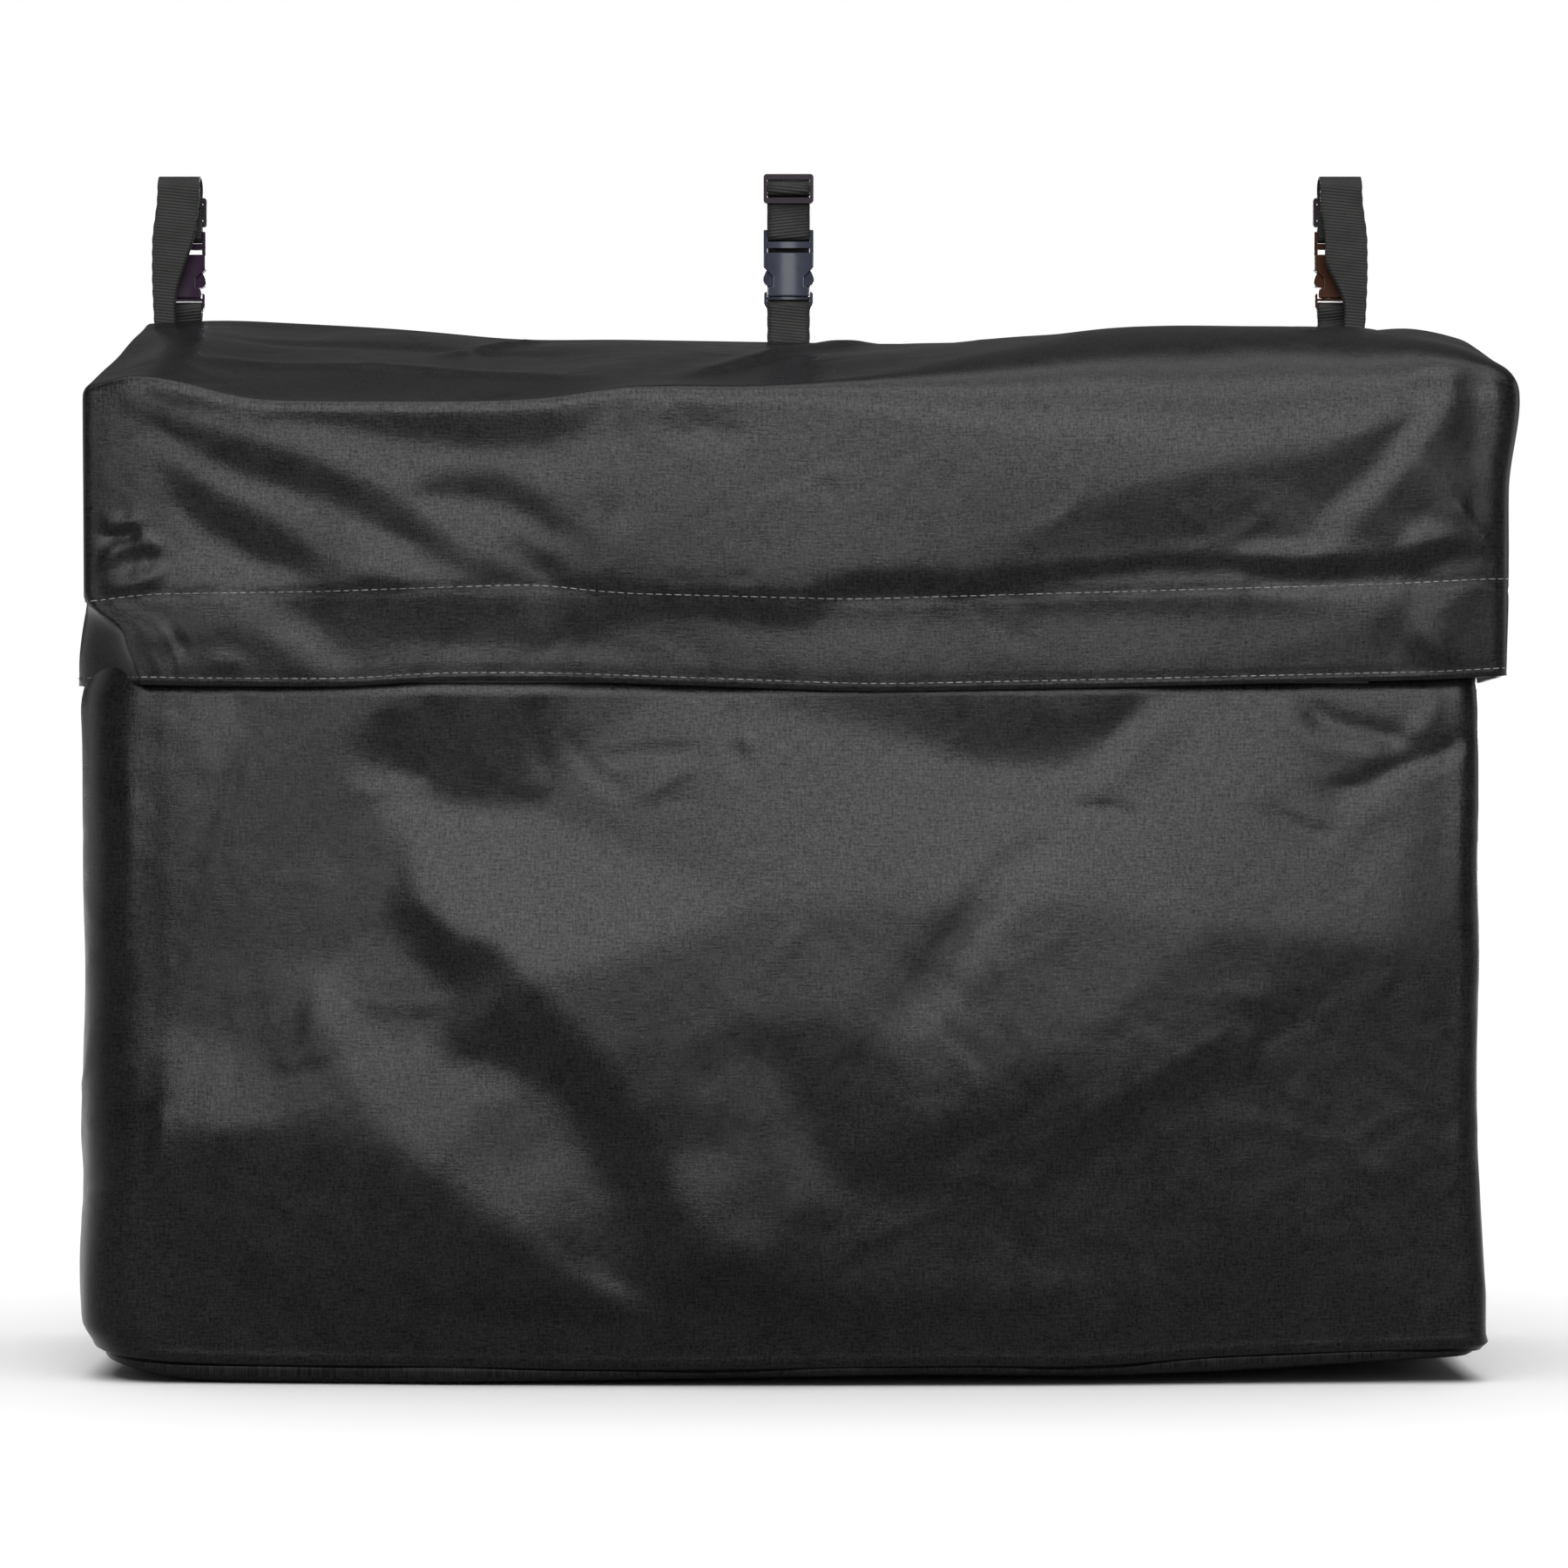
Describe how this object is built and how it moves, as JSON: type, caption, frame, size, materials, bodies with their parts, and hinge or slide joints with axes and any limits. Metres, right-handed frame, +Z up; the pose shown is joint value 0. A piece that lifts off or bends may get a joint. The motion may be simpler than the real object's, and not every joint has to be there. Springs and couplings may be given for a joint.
{
  "type": "bicycle pannier bag",
  "caption": "Box-shaped fabric pannier bag with a hinged drop-front lid, held to a rack rail by buckled webbing loops along its back.",
  "frame": {"origin": "on the ground, under the middle of the overall box", "axes": "+Z up as the bag stands or hangs, +X along its length to the right of someone facing its front panel, +Y towards the rack behind it"},
  "size_m": [0.6374, 0.2194, 0.5641],
  "materials": {
    "bag_fabric": "coated plain weave",
    "lining": "light plain weave",
    "board": "satin",
    "loop_tape": "soft loop pile",
    "hook_tape": "stiff hooks",
    "webbing": "ribbed flat weave",
    "buckle_plastic": "satin",
    "slider_plastic": "satin"
  },
  "bodies": {
    "bag": {"front_panel": "bag_fabric", "back_panel": "bag_fabric", "left_gusset": "bag_fabric", "right_gusset": "bag_fabric", "bottom_panel": "bag_fabric", "mouth_facing": "lining", "base_board": "board", "back_board": "board", "back_board_sleeve": "lining", "loop_tape": "loop_tape", "strap_base_left": "webbing", "strap_base_centre": "webbing", "strap_base_right": "webbing"},
    "lid": {"lid_top": "bag_fabric", "lid_front": "bag_fabric", "lid_left_wing": "bag_fabric", "lid_right_wing": "bag_fabric", "hook_tape": "hook_tape"},
    "strap_left": {"loop_web_left": "webbing", "anchor_web_left": "webbing", "buckle_female_left": "buckle_plastic"},
    "plug_left": {"buckle_male_left": "buckle_plastic"},
    "arm_left_west": {"latch_arm_left_west": "buckle_plastic"},
    "arm_left_east": {"latch_arm_left_east": "buckle_plastic"},
    "glide_left": {"slider_left": "slider_plastic", "slider_fold_left": "webbing"},
    "strap_centre": {"loop_web_centre": "webbing", "anchor_web_centre": "webbing", "buckle_female_centre": "buckle_plastic"},
    "plug_centre": {"buckle_male_centre": "buckle_plastic"},
    "arm_centre_west": {"latch_arm_centre_west": "buckle_plastic"},
    "arm_centre_east": {"latch_arm_centre_east": "buckle_plastic"},
    "glide_centre": {"slider_centre": "slider_plastic", "slider_fold_centre": "webbing"},
    "strap_right": {"loop_web_right": "webbing", "anchor_web_right": "webbing", "buckle_female_right": "buckle_plastic"},
    "plug_right": {"buckle_male_right": "buckle_plastic"},
    "arm_right_west": {"latch_arm_right_west": "buckle_plastic"},
    "arm_right_east": {"latch_arm_right_east": "buckle_plastic"},
    "glide_right": {"slider_right": "slider_plastic", "slider_fold_right": "webbing"}
  },
  "joints": [
    {"name": "lid_hinge", "type": "hinge", "parent": "bag", "child": "lid", "pos_m": [0, 0.0867, 0.4885], "axis": [-1, 0, 0], "range_deg": [0, 100]},
    {"name": "strap_swing_left", "type": "hinge", "parent": "bag", "child": "strap_left", "pos_m": [-0.303, 0.0898, 0.455], "axis": [-1, 0, 0], "range_deg": [0, 80]},
    {"name": "buckle_release_left", "type": "slide", "parent": "strap_left", "child": "plug_left", "axis": [0, 0, -1], "range_m": [0, 0.0188], "deforming": ["anchor_web_left", "latch_arm_left_west", "latch_arm_left_east"]},
    {"name": "latch_squeeze_left_west", "type": "hinge", "parent": "plug_left", "child": "arm_left_west", "pos_m": [-0.3102, 0.1034, 0.5051], "axis": [0, 1, 0], "range_deg": [0, 12], "stiffness_Nm_per_rad": 0.05},
    {"name": "latch_squeeze_left_east", "type": "hinge", "parent": "plug_left", "child": "arm_left_east", "pos_m": [-0.2958, 0.1034, 0.5051], "axis": [0, 1, 0], "range_deg": [-12, 0], "stiffness_Nm_per_rad": 0.05},
    {"name": "slider_left", "type": "slide", "parent": "strap_left", "child": "glide_left", "axis": [0, 0, 1], "range_m": [-0.002, 0.008]},
    {"name": "strap_swing_centre", "type": "hinge", "parent": "bag", "child": "strap_centre", "pos_m": [-0.0055, 0.0898, 0.455], "axis": [-1, 0, 0], "range_deg": [0, 80]},
    {"name": "buckle_release_centre", "type": "slide", "parent": "strap_centre", "child": "plug_centre", "axis": [0, 0, -1], "range_m": [0, 0.0188], "deforming": ["anchor_web_centre", "latch_arm_centre_west", "latch_arm_centre_east"]},
    {"name": "latch_squeeze_centre_west", "type": "hinge", "parent": "plug_centre", "child": "arm_centre_west", "pos_m": [-0.0127, 0.0956, 0.5051], "axis": [0, 1, 0], "range_deg": [0, 12], "stiffness_Nm_per_rad": 0.05},
    {"name": "latch_squeeze_centre_east", "type": "hinge", "parent": "plug_centre", "child": "arm_centre_east", "pos_m": [0.0017, 0.0956, 0.5051], "axis": [0, 1, 0], "range_deg": [-12, 0], "stiffness_Nm_per_rad": 0.05},
    {"name": "slider_centre", "type": "slide", "parent": "strap_centre", "child": "glide_centre", "axis": [0, 0, 1], "range_m": [-0.01, 0]},
    {"name": "strap_swing_right", "type": "hinge", "parent": "bag", "child": "strap_right", "pos_m": [0.264, 0.0898, 0.455], "axis": [-1, 0, 0], "range_deg": [0, 80]},
    {"name": "buckle_release_right", "type": "slide", "parent": "strap_right", "child": "plug_right", "axis": [0, 0, -1], "range_m": [0, 0.0188], "deforming": ["anchor_web_right", "latch_arm_right_west", "latch_arm_right_east"]},
    {"name": "latch_squeeze_right_west", "type": "hinge", "parent": "plug_right", "child": "arm_right_west", "pos_m": [0.2568, 0.1034, 0.5051], "axis": [0, 1, 0], "range_deg": [0, 12], "stiffness_Nm_per_rad": 0.05},
    {"name": "latch_squeeze_right_east", "type": "hinge", "parent": "plug_right", "child": "arm_right_east", "pos_m": [0.2712, 0.1034, 0.5051], "axis": [0, 1, 0], "range_deg": [-12, 0], "stiffness_Nm_per_rad": 0.05},
    {"name": "slider_right", "type": "slide", "parent": "strap_right", "child": "glide_right", "axis": [0, 0, 1], "range_m": [-0.002, 0.008]}
  ],
  "couplings": [
    {"joint": "latch_squeeze_left_east", "follows": "latch_squeeze_left_west", "ratio": -1},
    {"joint": "latch_squeeze_centre_east", "follows": "latch_squeeze_centre_west", "ratio": -1},
    {"joint": "latch_squeeze_right_east", "follows": "latch_squeeze_right_west", "ratio": -1}
  ]
}
